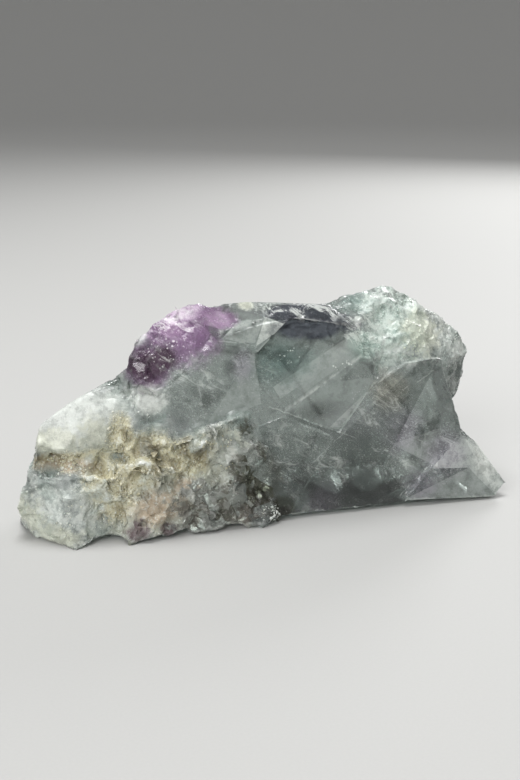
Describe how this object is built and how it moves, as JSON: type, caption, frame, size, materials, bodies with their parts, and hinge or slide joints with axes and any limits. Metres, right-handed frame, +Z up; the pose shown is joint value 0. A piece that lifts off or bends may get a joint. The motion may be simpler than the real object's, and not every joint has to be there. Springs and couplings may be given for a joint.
{
  "type": "fluorite specimen",
  "caption": "Rough natural fluorite specimen: a clear, green and purple cleaved crystal lump with a frosted white end, a tan granular crust and a flat cleavage base to stand on.",
  "frame": {"origin": "middle of the stone's overall footprint, on the flat base that it stands on", "axes": "+Z up from the base; +X along the stone's length, towards the pointed toe; -Y faces the clear cleaved front"},
  "size_m": [0.12, 0.047, 0.052],
  "materials": {
    "fluorite": "satin"
  },
  "bodies": {
    "root": {"fluorite": "fluorite"}
  },
  "joints": []
}
